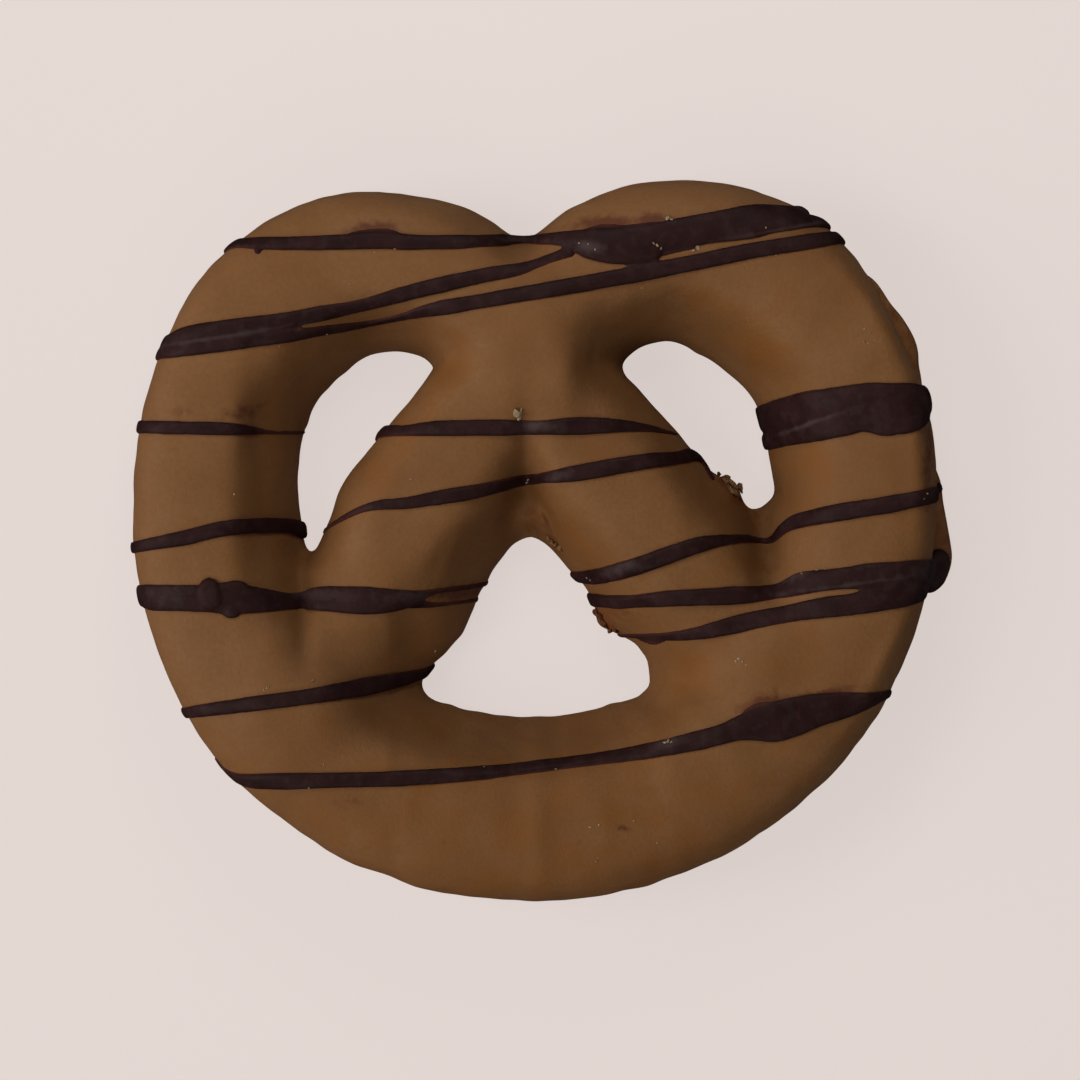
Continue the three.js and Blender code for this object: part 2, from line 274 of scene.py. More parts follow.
# ---- the drizzle ----
# each line: its route as (across, up, width), then how far it runs down the side at its start and its end
DRIZZLE = {
    "top": ([
        (-0.748, 0.814, 1.7), (-0.72, 0.824, 2.0), (-0.61, 0.824, 1.9), (-0.486, 0.827, 2.1),
        (-0.387, 0.833, 2.5), (-0.279, 0.827, 2.1), (-0.073, 0.832, 2.0), (0.009, 0.834, 2.0),
        (0.068, 0.837, 2.2), (0.143, 0.832, 3.4), (0.217, 0.829, 4.1), (0.292, 0.836, 4.2),
        (0.383, 0.856, 4.2), (0.547, 0.887, 4.8), (0.614, 0.902, 3.8), (0.664, 0.912, 2.1)], 3, 2),
    "top_ridge": ([(0.547, 0.864, 2.1), (0.639, 0.88, 2.3), (0.7, 0.884, 2.3), (0.735, 0.872, 2.1)], 0, 2),
    "upper_slant": ([
        (-0.905, 0.554, 1.9), (-0.858, 0.573, 2.1), (-0.776, 0.587, 2.3), (-0.61, 0.613, 2.1),
        (-0.446, 0.648, 2.2), (-0.279, 0.696, 2.2), (-0.114, 0.737, 2.1), (-0.031, 0.753, 1.9),
        (0.055, 0.787, 1.4), (0.105, 0.808, 1.9)], 3, 0),
    "lower_slant": ([
        (-0.917, 0.521, 1.9), (-0.858, 0.532, 2.0), (-0.776, 0.543, 1.9), (-0.61, 0.568, 1.9),
        (-0.446, 0.596, 1.6), (-0.362, 0.612, 1.3), (-0.31, 0.625, 1.5), (-0.26, 0.639, 2.0),
        (-0.114, 0.667, 2.1), (0.051, 0.698, 2.2), (0.217, 0.731, 2.3), (0.383, 0.767, 2.2),
        (0.547, 0.804, 2.2), (0.714, 0.833, 2.3), (0.758, 0.838, 2.2), (0.778, 0.828, 2.0)], 3, 3),
    "left_upper": ([
        (-0.984, 0.316, 1.9), (-0.858, 0.313, 1.8), (-0.776, 0.311, 1.8), (-0.709, 0.307, 1.5),
        (-0.66, 0.302, 0.7), (-0.627, 0.3, 0.5), (-0.57, 0.3, 0.6)], 3, 3),
    "middle_upper": ([
        (-0.395, 0.288, 2.1), (-0.366, 0.302, 2.1), (-0.321, 0.305, 1.7), (-0.238, 0.312, 2.1),
        (-0.114, 0.314, 2.3), (0.01, 0.314, 2.1), (0.093, 0.318, 2.4), (0.175, 0.32, 2.2),
        (0.242, 0.317, 1.7), (0.299, 0.31, 1.2), (0.359, 0.296, 0.6)], 4, 0),
    "right_upper": ([
        (0.555, 0.335, 3.5), (0.6, 0.345, 4.3), (0.684, 0.371, 4.4), (0.768, 0.39, 3.9), (0.838, 0.4, 3.7),
        (0.912, 0.402, 3.6), (0.962, 0.402, 3.2), (0.985, 0.385, 2.7)], 3, 2),
    "right_upper_second": ([
        (0.58, 0.274, 2.4), (0.632, 0.288, 2.6), (0.684, 0.3, 2.9), (0.768, 0.324, 3.3),
        (0.823, 0.335, 3.2), (0.88, 0.331, 4.0), (0.949, 0.349, 3.4)], 3, 0),
    "left_middle": ([
        (-0.987, -0.017, 1.7), (-0.942, -0.007, 1.8), (-0.858, 0.01, 2.1), (-0.776, 0.033, 2.1),
        (-0.694, 0.042, 2.2), (-0.61, 0.042, 2.1), (-0.57, 0.03, 2.4)], 3, 2),
    "middle": ([
        (-0.518, 0.028, 0.7), (-0.486, 0.053, 0.8), (-0.428, 0.086, 1.1), (-0.379, 0.1, 1.4),
        (-0.321, 0.104, 1.6), (-0.238, 0.119, 2.0), (-0.155, 0.134, 2.1), (-0.073, 0.155, 2.0),
        (-0.03, 0.167, 1.9), (0.019, 0.174, 1.5), (0.068, 0.181, 2.0), (0.135, 0.192, 2.3),
        (0.217, 0.209, 2.3), (0.299, 0.223, 2.2), (0.366, 0.231, 1.9), (0.396, 0.238, 2.0),
        (0.418, 0.222, 1.7), (0.437, 0.19, 1.1)], 2, 2),
    "right_middle": ([
        (0.12, -0.1, 2.0), (0.168, -0.096, 2.4), (0.259, -0.069, 2.5), (0.341, -0.037, 2.4),
        (0.408, -0.012, 2.2), (0.465, 0.001, 1.7), (0.532, 0.007, 1.2), (0.575, 0.0, 0.9),
        (0.596, 0.005, 1.2), (0.614, 0.025, 1.8), (0.639, 0.046, 2.1), (0.671, 0.058, 2.3),
        (0.755, 0.078, 2.4), (0.879, 0.1, 2.4), (0.985, 0.124, 2.3)], 3, 3),
    "left_lower": ([
        (-0.974, -0.152, 3.0), (-0.942, -0.156, 3.7), (-0.858, -0.158, 3.7), (-0.81, -0.159, 4.0),
        (-0.751, -0.158, 4.6), (-0.701, -0.162, 4.0), (-0.652, -0.165, 3.4), (-0.615, -0.168, 2.8),
        (-0.585, -0.167, 2.5), (-0.527, -0.16, 3.6), (-0.446, -0.164, 3.8), (-0.362, -0.166, 3.5),
        (-0.305, -0.16, 2.6), (-0.267, -0.147, 1.4), (-0.235, -0.138, 0.9), (-0.155, -0.127, 0.8),
        (-0.101, -0.116, 0.9)], 3, 2),
    "left_lower_second": ([
        (-0.31, -0.17, 1.9), (-0.247, -0.177, 0.9), (-0.155, -0.166, 0.6), (-0.118, -0.158, 1.3)], 0, 2),
    "right_lower": ([
        (0.145, -0.162, 2.0), (0.217, -0.168, 2.0), (0.341, -0.159, 2.3), (0.465, -0.153, 2.5),
        (0.59, -0.143, 2.5), (0.66, -0.12, 3.2), (0.714, -0.11, 3.0), (0.796, -0.101, 3.2),
        (0.84, -0.096, 3.5), (0.985, -0.084, 3.5)], 3, 4),
    "right_lower_second": ([
        (0.23, -0.262, 0.9), (0.316, -0.265, 1.3), (0.399, -0.257, 1.8), (0.465, -0.242, 2.2),
        (0.548, -0.22, 2.5), (0.631, -0.202, 2.5), (0.714, -0.186, 2.8), (0.796, -0.175, 2.9),
        (0.84, -0.165, 3.5), (0.96, -0.136, 3.6)], 2, 3),
    "left_bottom": ([
        (-0.868, -0.477, 1.6), (-0.818, -0.469, 1.8), (-0.734, -0.457, 2.0), (-0.57, -0.433, 2.2),
        (-0.486, -0.418, 2.4), (-0.403, -0.401, 2.5), (-0.321, -0.381, 2.2), (-0.279, -0.369, 1.9)], 3, 4),
    "bottom": ([
        (-0.788, -0.598, 0.8), (-0.761, -0.634, 1.3), (-0.726, -0.658, 2.0), (-0.67, -0.665, 2.3),
        (-0.527, -0.663, 2.2), (-0.362, -0.659, 2.1), (-0.197, -0.649, 2.2), (-0.031, -0.631, 2.2),
        (0.217, -0.595, 2.4), (0.383, -0.559, 2.7), (0.465, -0.537, 2.8), (0.507, -0.521, 3.3),
        (0.547, -0.51, 4.4), (0.597, -0.504, 5.2), (0.647, -0.487, 5.2), (0.706, -0.468, 4.5),
        (0.755, -0.459, 3.9), (0.813, -0.447, 3.0), (0.863, -0.432, 1.8), (0.895, -0.415, 1.1),
        (0.908, -0.393, 0.7)], 0, 0),
}
# pools where the drizzle ran together, and thin films where it spread: (route as above, height)
POOLS = {
    "top_small_film": ([
        (-0.46, 0.843, 1.0), (-0.416, 0.853, 1.2), (-0.366, 0.856, 1.2), (-0.329, 0.846, 1.0)], 0.14),
    "top_pool": ([(0.1, 0.826, 2.9), (0.17, 0.8165, 4.35), (0.25, 0.8115, 4.35), (0.33, 0.8225, 3.7)], 0.7),
    "top_film": ([
        (0.125, 0.856, 0.8), (0.168, 0.866, 1.3), (0.23, 0.864, 1.3), (0.292, 0.872, 1.2),
        (0.336, 0.877, 0.9)], 0.14),
    "top_lower_film": ([(0.31, 0.8, 1.4), (0.366, 0.817, 1.6), (0.411, 0.822, 1.2)], 0.3),
    "top_spur": ([(-0.685, 0.812, 1.2), (-0.678, 0.793, 0.8)], 0.5),
    "left_pool": ([(-0.805, -0.1, 2.2), (-0.8, -0.15, 3.2), (-0.785, -0.194, 2.2)], 1.05),
    "left_pool_top": ([(-0.768, -0.136, 1.8), (-0.742, -0.128, 2.0), (-0.705, -0.135, 1.8)], 0.6),
    "left_pool_bottom": ([(-0.77, -0.187, 2.0), (-0.748, -0.195, 2.2), (-0.724, -0.185, 2.0)], 0.6),
    "right_upper_pool": ([
        (0.83, 0.36, 4.0), (0.9, 0.352, 5.6), (0.95, 0.37, 6.0), (0.985, 0.385, 4.6)], 0.8),
    "right_lip": ([(0.955, 0.425, 2.6), (0.965, 0.405, 3.6), (0.97, 0.38, 3.8), (0.962, 0.355, 3.0)], 1.1),
    "bottom_upper_film": ([
        (0.52, -0.482, 0.9), (0.545, -0.468, 1.4), (0.577, -0.459, 1.6), (0.609, -0.457, 1.3),
        (0.639, -0.451, 0.9), (0.714, -0.44, 1.0), (0.788, -0.429, 0.8)], 0.14),
    "bottom_lower_film": ([(0.51, -0.519, 1.2), (0.577, -0.528, 1.4), (0.642, -0.515, 1.2)], 0.16),
    "triangle_film": ([(0.262, -0.27, 0.8), (0.297, -0.279, 1.3), (0.334, -0.268, 0.8)], 0.16),
    "foot_drop": ([
        (1.0, -0.022, 2.0), (1.01, -0.053, 3.4), (1.009, -0.085, 3.8), (0.995, -0.116, 3.4),
        (0.98, -0.14, 2.0)], 0.6),
    "foot_upper_drop": ([(1.007, 0.165, 1.0), (1.009, 0.13, 1.2)], 0.5),
}
WIDEST_GAP = 0.7
NARROWEST_GAP = 0.1
NARROWEST_LINE = 0.4
END_ROWS = 4  # points over which a line's heading at its end is taken
RUN_DOWN_STOPS = 0.6  # height above the table
RUN_DOWN_SLOWEST = 0.2  # share of a step, under which a run has come to rest
LINE_HEIGHT_SHARE = 0.28  # of its width
LINE_HEIGHT_MOST = 0.62
DRIZZLE_SUNK = 0.25  # how deep a line's underside lies in what it runs over
REMESH_CELL = 0.22
SOFTENING = 0.5
SOFTENING_STEPS = 3
DRIZZLE_FACES_KEPT = 0.58
DRIZZLE_LUMPS = [(4.5, 0.06), (1.6, 0.035)]
DRIZZLE_LUMP_SEED = 20

# ---- crumbs ----
# where each kind lies: (across, up, size)
BROWN_CRUMBS = [
    (0.463, 0.183, 1.2), (0.475, 0.174, 1.7), (0.488, 0.161, 1.9), (0.498, 0.148, 2.0), (0.512, 0.143, 1.7),
    (0.51, 0.127, 1.4), (0.486, 0.178, 1.1), (0.48, 0.16, 1.4), (0.493, 0.14, 1.5), (0.503, 0.132, 1.3),
    (0.041, 0.012, 0.9), (0.049, 0.003, 1.2), (0.058, -0.008, 1.3), (0.067, -0.019, 1.2),
    (0.074, -0.028, 0.9),
]
RED_CRUMBS = [
    (0.15, -0.199, 1.0), (0.16, -0.197, 1.4), (0.17, -0.205, 1.5), (0.178, -0.222, 1.4),
    (0.182, -0.235, 1.2), (0.192, -0.246, 1.4), (0.202, -0.258, 1.2),
]
PALE_CRUMBS = [
    (-0.041, 0.357, 1.7), (-0.03, 0.352, 1.3), (-0.014, 0.163, 0.5), (-0.01, 0.17, 0.35),
    (0.336, 0.894, 0.9), (0.345, 0.89, 0.5), (0.411, 0.814, 0.9), (0.4, 0.806, 0.5), (0.301, 0.824, 0.35),
    (0.309, 0.819, 0.5), (0.319, 0.81, 0.4), (0.115, 0.825, 0.3), (0.138, 0.822, 0.25), (0.155, 0.808, 0.3),
    (-0.391, 0.8, 0.4), (-0.341, 0.809, 0.35), (-0.629, 0.54, 0.35), (-0.51, 0.573, 0.3),
    (-0.455, 0.712, 0.3), (-0.741, 0.13, 0.35), (-0.302, 0.172, 0.35), (-0.547, -0.388, 0.6),
    (-0.666, -0.413, 0.4), (-0.66, -0.407, 0.35), (-0.654, -0.402, 0.35), (-0.242, -0.305, 0.45),
    (-0.25, -0.316, 0.35), (-0.555, -0.684, 0.4), (-0.12, -0.626, 0.3), (-0.518, -0.618, 0.25),
    (0.143, -0.792, 0.35), (0.165, -0.786, 0.35), (0.252, -0.775, 0.3), (0.158, -0.886, 0.35),
    (0.163, -0.878, 0.3), (0.309, -0.836, 0.25), (0.521, -0.335, 0.4), (0.512, -0.326, 0.5),
    (0.506, -0.333, 0.4), (0.53, -0.343, 0.35), (0.058, -0.631, 0.3), (0.329, -0.559, 0.6),
    (0.337, -0.554, 0.7), (0.345, -0.556, 0.5), (0.272, 0.701, 0.3), (0.604, 0.792, 0.3),
    (0.58, 0.867, 0.3), (0.537, 0.612, 0.3), (0.824, 0.588, 0.3), (0.838, 0.577, 0.3), (0.85, 0.557, 0.3),
    (0.825, 0.551, 0.4), (0.833, 0.548, 0.25), (0.668, -0.09, 0.35), (0.706, -0.081, 0.4),
    (0.729, -0.077, 0.4), (0.135, -0.102, 0.35), (0.143, -0.108, 0.25), (0.98, 0.131, 0.35),
    (0.972, 0.117, 0.25),
]
# each kind: (where it lies, its lighter colour, its darker one)
CRUMBS = {
    "brown": (BROWN_CRUMBS, (0.28, 0.15, 0.066), (0.15, 0.064, 0.023)),
    "red": (RED_CRUMBS, (0.17, 0.055, 0.016), (0.07, 0.022, 0.01)),
    "pale": (PALE_CRUMBS, (0.42, 0.31, 0.19), (0.25, 0.165, 0.09)),
}
EDGE_LEVEL = 4  # height at which a crumb beside an edge hangs on
CRUMB_SPLITS = 3
CRUMB_CUTS = 9
CRUMB_CUT_DEPTH = (0.35, 0.8)
CRUMB_GRAIN = 3  # lumps of a crumb's unevenness along its radius
CRUMB_SEED_STEP = 3.7
CRUMB_UNEVEN = 0.2
CRUMB_FLATNESS = (0.35, 0.7)
CRUMB_STRETCH = (0.65, 1.5)
CRUMB_TILT = 0.4  # radians
CRUMB_TURN = 6.3  # radians, about a whole turn
CRUMB_LIFT = 0.25  # share of its height by which a crumb's middle stands over what it lies on

# ---- looks ----
# a material's noise is (size of a lump, detail), then the texture's values that count as 0 and as 1 where
# they aren't these two
NOISE_LOW = 0.35
NOISE_HIGH = 0.65
# a mark is (the noise that frays its edge, what that noise adds at its 0 and its 1, the sums at which it
# begins and is whole, the share of its colour that shows when it is whole, its colour)
COAT_MARKS = {
    # the thin coat's warmer colour, which on the belly and by the right hole is painted shade
    "thin_coat_and_shade": ((4.5, 4, 0.42, 0.66), (-0.35, 0.3), (0, 1), 0.95, (0.195, 0.074, 0.018)),
    "smear": ((1.2, 4, 0.38, 0.62), (-0.3, 0.05), (0.05, 0.7), 0.8, (0.085, 0.0235, 0.0115)),
    "torn": ((1.2, 4, 0.38, 0.62), (-0.35, 0.05), (0.1, 0.6), 0.9, (0.155, 0.051, 0.0155)),
}
# the grey of the bloom, which along merged lines is a painted highlight
BLOOM_AND_HIGHLIGHT_MARK = ((1.6, 4, 0.4, 0.6), (-0.25, 0.12), (0, 1), 0.9, (0.062, 0.04, 0.038))
FILM_MARK = ((0.9, 3, 0.3, 0.7), (-0.12, 0.12), (0, 1), 0.85, (0.07, 0.021, 0.014))
FILM_DEPTHS = (0.08, 0.36)  # the drizzle is all film up to the first depth, and none from the second

COAT_COLOURS = ((0.214, 0.0965, 0.035), (0.182, 0.077, 0.0255))
COAT_CLOUDS = (11, 4)
COAT_GRAIN = (0.7, 3)
COAT_GRAIN_COLOUR = (0.15, 0.065, 0.02)
COAT_GRAIN_AMOUNT = 0.3
COAT_ROUGHNESS = (0.56, 0.66)
COAT_SPECULAR = 0.12
COAT_PITS = (0.5, 4)
COAT_PIT_DEPTH = 0.02

# the foot's own warm colours, painted lighter to offset the shade it lies in beside the body
FOOT_COLOURS_WITH_PAINTED_LIGHT = ((0.28, 0.117, 0.038), (0.19, 0.065, 0.02))
FOOT_CLOUDS = (2.5, 4)
FOOT_ROUGHNESS = 0.55
FOOT_SPECULAR = 0.15
FOOT_PITS = (0.6, 4)
FOOT_PIT_DEPTH = 0.03

DRIZZLE_COLOURS = ((0.0178, 0.0061, 0.0057), (0.0262, 0.0096, 0.009))
DRIZZLE_CLOUDS = (3.5, 3)
DRIZZLE_ROUGHNESS = (0.5, 0.62)
DRIZZLE_SPECULAR = 0.08
DRIZZLE_PITS = (0.4, 4)
DRIZZLE_PIT_DEPTH = 0.015

CRUMB_CLOUDS = (0.5, 3)
CRUMB_ROUGHNESS = 0.85
CRUMB_SPECULAR = 0.15
CRUMB_PITS = (0.15, 3)
CRUMB_PIT_DEPTH = 0.05

# ---- the studio ----
# each lamp: (turn, rise, distance, size, power in watts)
LAMPS = {
    "left_high": (180, 45, 900, 400, 2.95),
    "left_low": (180, 20, 900, 400, 2.4),
    "left_front": (225, 45, 900, 400, 0.9),
    "front": (270, 45, 900, 400, 1.2),
    "right": (0, 20, 900, 400, 0.48),
    "back": (90, 45, 250, 100, 0.172),
}
SKY_STRENGTH = 0.02
FLOOR_SIZE = 4000
FLOOR_COLOUR = (0.82, 0.73, 0.69)
FLOOR_GLOW = 0.8  # share of the floor's colour that it gives off by itself
FLOOR_ROUGHNESS = 0.9
FLOOR_SPECULAR = 0.0
FLOOR_DROP = 0.2  # how far the floor that shows lies under the one that doesn't
BOUNCE_COLOUR = (0.8, 0.8, 0.8)
BOUNCE_ROUGHNESS = 1


# ---- arithmetic on many points ----
def smoothstep(low, high, x):
    """0 at low, 1 at high, and a smooth turn between."""
    t = np.clip((x - low) / (high - low), 0, 1)
    return t * t * (3 - 2 * t)


def noise_at(points, size, seed):
    """Smooth noise from about -1 to 1 at each point, whose lumps are size millimetres across."""
    scale = 1 / (size * MM)
    shift = Vector([seed * step for step in NOISE_SHIFT])
    return np.array([noise.noise(Vector(p) * scale + shift) for p in points])


def smooth_curve(rows):
    """A Catmull-Rom curve through rows of numbers, with ROUTE_SPLITS points between two of them."""
    rows = np.array(rows, float)
    rows = np.vstack([2 * rows[0] - rows[1], rows, 2 * rows[-1] - rows[-2]])
    t = np.linspace(0, 1, ROUTE_SPLITS, endpoint=False)[:, None]
    spans = []
    for a, b, c, d in zip(rows, rows[1:], rows[2:], rows[3:]):
        once = (c - a) * t
        twice = (2 * a - 5 * b + 4 * c - d) * t**2
        thrice = (3 * b - a - 3 * c + d) * t**3
        spans.append(0.5 * (2 * b + once + twice + thrice))
    return np.vstack(spans + [rows[-2:-1]])


def lengths_along(points):
    """How far along a path each of its points lies."""
    steps = np.linalg.norm(np.diff(points, axis=0), axis=1)
    return np.concatenate([[0], np.cumsum(steps)])


def headings_along(points):
    """The unit vector along a path at each of its points."""
    headings = np.gradient(points, axis=0)
    return headings / np.linalg.norm(headings, axis=1)[:, None]


def evenly_spaced(table):
    """The same path as rows of x, y, z and width, ROUTE_STEP apart, with its kinks smoothed."""
    along = lengths_along(table[:, :3])
    count = max(int(along[-1] / (ROUTE_STEP * MM)), FEWEST_ROWS)
    wanted = np.linspace(0, along[-1], count)
    spaced = np.column_stack([np.interp(wanted, along, column) for column in table.T])
    for _ in range(ROUTE_SMOOTHING):
        spaced[1:-1] = (spaced[:-2] + 2 * spaced[1:-1] + spaced[2:]) / 4
    return spaced


# ---- meshes ----
def new_piece(name, mesh):
    piece = bpy.data.objects.new(name, mesh)
    bpy.context.scene.collection.objects.link(piece)
    return piece


def mesh_from(name, vertices, faces):
    mesh = bpy.data.meshes.new(name)
    mesh.from_pydata([tuple(v) for v in vertices], [], faces)
    mesh.update()
    return mesh


def apply_modifiers(piece):
    """Keeps the shape that the piece's modifiers give, and drops the modifiers."""
    graph = bpy.context.evaluated_depsgraph_get()
    shaped = bpy.data.meshes.new_from_object(piece.evaluated_get(graph))
    piece.modifiers.clear()
    plain = piece.data
    piece.data = shaped
    bpy.data.meshes.remove(plain)


def places_of(mesh):
    flat = np.zeros(len(mesh.vertices) * 3)
    mesh.vertices.foreach_get("co", flat)
    return flat.reshape(-1, 3)


def normals_of(mesh):
    flat = np.zeros(len(mesh.vertices) * 3)
    mesh.vertex_normals.foreach_get("vector", flat)
    return flat.reshape(-1, 3)


def move_vertices(mesh, places):
    mesh.vertices.foreach_set("co", places.ravel())
    mesh.update()


def finish_piece(piece, material):
    """Smooth shading and its material."""
    piece.data.polygons.foreach_set("use_smooth", [True] * len(piece.data.polygons))
    piece.data.materials.append(material)
    return piece


def point_value(mesh, name, values):
    """Stores one number for each vertex, for the material to read."""
    attribute = mesh.attributes.new(name, "FLOAT", "POINT")
    attribute.data.foreach_set("value", np.asarray(values, np.float32))


# ---- where things lie ----
class Plan:
    """Where the shares lie, as the camera sees them."""

    def __init__(self, low, high):
        middle = (low + high) / 2
        self.half = (high - low) / 2
        self.middle = Vector((middle.x, middle.y, SHARE_LEVEL * MM))
        across, up = CAMERA_SIDE_STEP
        self.eye = Vector((middle.x + across * MM, middle.y + up * MM, CAMERA_HEIGHT * MM))

    def at_level(self, across, up, level=SHARE_LEVEL):
        """The point at a height above the table that the camera sees at this share."""
        point = self.middle + Vector((across * self.half.x, up * self.half.y, 0))
        sight = point - self.eye
        return self.eye + sight * ((level * MM - self.eye.z) / sight.z)

    def seen(self, places):
        """Where the camera sees each place, on the level of the shares."""
        eye = np.array(self.eye)
        nearness = (eye[2] - SHARE_LEVEL * MM) / (eye[2] - places[:, 2])
        return eye[:2] + (places[:, :2] - eye[:2]) * nearness[:, None]

    def patch(self, seen, across, up, turn, half_length, half_width):
        """1 at a place on the pretzel, fading out round it as a turned oval."""
        out = seen - np.array(self.at_level(across, up))[:2]
        heading = np.array((math.cos(math.radians(turn)), math.sin(math.radians(turn))))
        along = out @ heading / (half_length * MM)
        aside = out @ (-heading[1], heading[0]) / (half_width * MM)
        return np.exp(-(along**2 + aside**2) / 2)


class Surface:
    """The surface of some pieces, to lay other things on."""

    def __init__(self, pieces):
        vertices = []
        faces = []
        for piece in pieces:
            faces += [[len(vertices) + i for i in face.vertices] for face in piece.data.polygons]
            vertices += [vertex.co for vertex in piece.data.vertices]
        self.tree = BVHTree.FromPolygons(vertices, faces)

    def seen_at(self, plan, across, up):
        """The point and the normal that the camera sees at this share, or None twice beside the pieces."""
        location, normal, _, _ = self.tree.ray_cast(plan.eye, plan.at_level(across, up) - plan.eye)
        return location, normal

    def nearest(self, point):
        location, normal, _, _ = self.tree.find_nearest(Vector(point))
        return location, normal


class Table:
    """The level top of the table, or just over it, to lay the foot on."""

    def nearest(self, point):
        return Vector((point[0], point[1], FOOT_LIFT * MM)), Vector((0, 0, 1))


# ---- the coat ----
def rounded_copy(node):
    """The plain solid's mesh with its triangles joined into quads, then rounded by subdivision."""
    bm = bmesh.new()
    bm.from_mesh(node.data)
    bmesh.ops.remove_doubles(bm, verts=bm.verts, dist=WELD * MM)
    bmesh.ops.join_triangles(
        bm,
        faces=bm.faces,
        angle_face_threshold=QUAD_ANGLE,
        angle_shape_threshold=QUAD_SKEW,
    )
    mesh = bpy.data.meshes.new("pretzel_coat")
    bm.to_mesh(mesh)
    bm.free()
    coat = new_piece("pretzel_coat", mesh)
    rounding = coat.modifiers.new("rounding", "SUBSURF")
    rounding.levels = ROUNDING_STEPS
    rounding.render_levels = ROUNDING_STEPS
    apply_modifiers(coat)
    return coat


def nudge_walls(places, plan):
    """Moves the walls level, each point by the nudges near it."""
    seen = plan.seen(places)
    for across, up, reach, move_right, move_up in NUDGES:
        near = plan.patch(seen, across, up, 0, reach, reach)
        places[:, 0] += near * move_right * MM
        places[:, 1] += near * move_up * MM


def sink_dents(places, plan):
    """Lowers the hollows and lifts the ridges, and leaves the edge on the table in place."""
    seen = plan.seen(places)
    change = sum(height * MM * plan.patch(seen, *where) for *where, height in DENTS)
    places[:, 2] += change * smoothstep(0, places[:, 2].max(), places[:, 2])


def ripples(places, plan):
    """Long low ripples that follow the belly, in millimetres."""
    out = places[:, :2] - np.array(plan.middle)[:2]
    round_the_ring = np.column_stack([
        np.arctan2(out[:, 1], out[:, 0]) * plan.half.y,
        np.hypot(out[:, 0], out[:, 1]) * RIPPLE_SIZE / RIPPLE_LENGTH,
        np.zeros(len(places)),
    ])
    belly = smoothstep(RIPPLES_FROM, RIPPLES_FULL, out[:, 1] / plan.half.y)
    return belly * RIPPLE_HEIGHT * noise_at(round_the_ring, RIPPLE_SIZE, RIPPLE_SEED)


def coat_relief(places, normals, plan):
    """How far each point of the coat stands out, in millimetres."""
    relief = np.zeros(len(places))
    for index, (size, height) in enumerate(LUMPS):
        relief += height * noise_at(places, size, index)
    relief += ripples(places, plan)
    wall = 1 - np.abs(normals[:, 2])
    relief += wall * WALL_LUMP_HEIGHT * noise_at(places, WALL_LUMP_SIZE, WALL_LUMP_SEED)
    return relief * smoothstep(0, RELIEF_STARTS * MM, places[:, 2])


def patches_on(mesh, plan, patches):
    """The strongest of some patches at each vertex, each times its amount. They fade towards the table."""
    places = places_of(mesh)
    seen = plan.seen(places)
    strongest = np.max([amount * plan.patch(seen, *where) for *where, amount in patches], axis=0)
    return strongest * smoothstep(0, MARKS_FROM * MM, places[:, 2])


def make_coat(frame, plan, material):
    coat = rounded_copy(frame["nodes"][NODE])
    places = places_of(coat.data)
    nudge_walls(places, plan)
    sink_dents(places, plan)
    move_vertices(coat.data, places)
    normals = normals_of(coat.data)
    places += normals * (coat_relief(places, normals, plan) * MM)[:, None]
    places[:, 2] = np.maximum(places[:, 2], 0)
    move_vertices(coat.data, places)
    # the thin coat's marks, which include painted shade on the belly and by the right hole
    point_value(coat.data, "thin_coat_and_shade", patches_on(coat.data, plan, THIN_COAT_AND_SHADE))
    point_value(coat.data, "smear", patches_on(coat.data, plan, SMEARS))
    point_value(coat.data, "torn", patches_on(coat.data, plan, TORN))
    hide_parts(NODE)
    return finish_piece(coat, material)


# ---- strips ----
def strip_sizes(rows, seed):
    """The width at each row, which sways a little, and the share of its size that its rounded ends leave."""
    along = lengths_along(rows[:, :3])
    sway = noise_at([(s, seed, 0) for s in along], WIDTH_CHANGE_LENGTH, seed)
    widths = rows[:, 3] * (1 + WIDTH_CHANGE * sway)
    from_end = np.minimum(along, along[-1] - along)
    cap = np.minimum(from_end / (widths / 2), 1)
    return widths, np.sqrt(np.clip(1 - (1 - cap) ** 2, SMALLEST_END, 1))


def strip_section(surface, middle, heading, width, share, height, sunk):
    """One section of a strip on the surface: its points over the top from side to side, then back beneath."""
    _, normal = surface.nearest(middle)
    side = Vector(heading).cross(normal).normalized()
    top = []
    bottom = []
    for offset, rise in zip(SECTION_OFFSETS, SECTION_RISES):
        base, facing = surface.nearest(Vector(middle) + side * (offset * width / 2 * share))
        out = (facing + normal).normalized()
        top.append(base + out * height * rise)
        bottom.append(base - out * sunk * MM)
    return top + bottom[-2:0:-1]


def tube_faces(row_count, ring):
    """The faces of a closed tube with that many rows, each a ring of that many points."""
    faces = []
    for row in range(row_count - 1):
        for k in range(ring):
            a = row * ring + k
            b = row * ring + (k + 1) % ring
            faces.append((a, b, b + ring, a + ring))
    last = (row_count - 1) * ring
    faces.append(tuple(range(ring - 1, -1, -1)))
    faces.append(tuple(range(last, last + ring)))
    return faces


def strip_mesh(surface, rows, height_of, seed, sunk):
    """A closed rounded strip laid along the rows: vertices and faces."""
    middles = rows[:, :3]
    vertices = []
    for middle, heading, width, share in zip(middles, headings_along(middles), *strip_sizes(rows, seed)):
        height = height_of(width / MM) * MM * share
        vertices += strip_section(surface, middle, heading, width, share, height, sunk)
    return vertices, tube_faces(len(rows), len(vertices) // len(rows))


# ---- the foot ----
def foot_rows(plan):
    """The foot's route as rows of x, y, z and width, widened under the coat on its inner side only."""
    table = []
    for across, up, width in smooth_curve(FOOT):
        table.append((*plan.at_level(across, up, FOOT_HEIGHT / 2), width * MM))
    rows = evenly_spaced(np.array(table))
    inward = headings_along(rows[:, :2])[:, ::-1] * (1, -1)
    rows[:, :2] += inward * FOOT_TUCK / 2 * MM
    rows[:, 3] += FOOT_TUCK * MM
    return rows


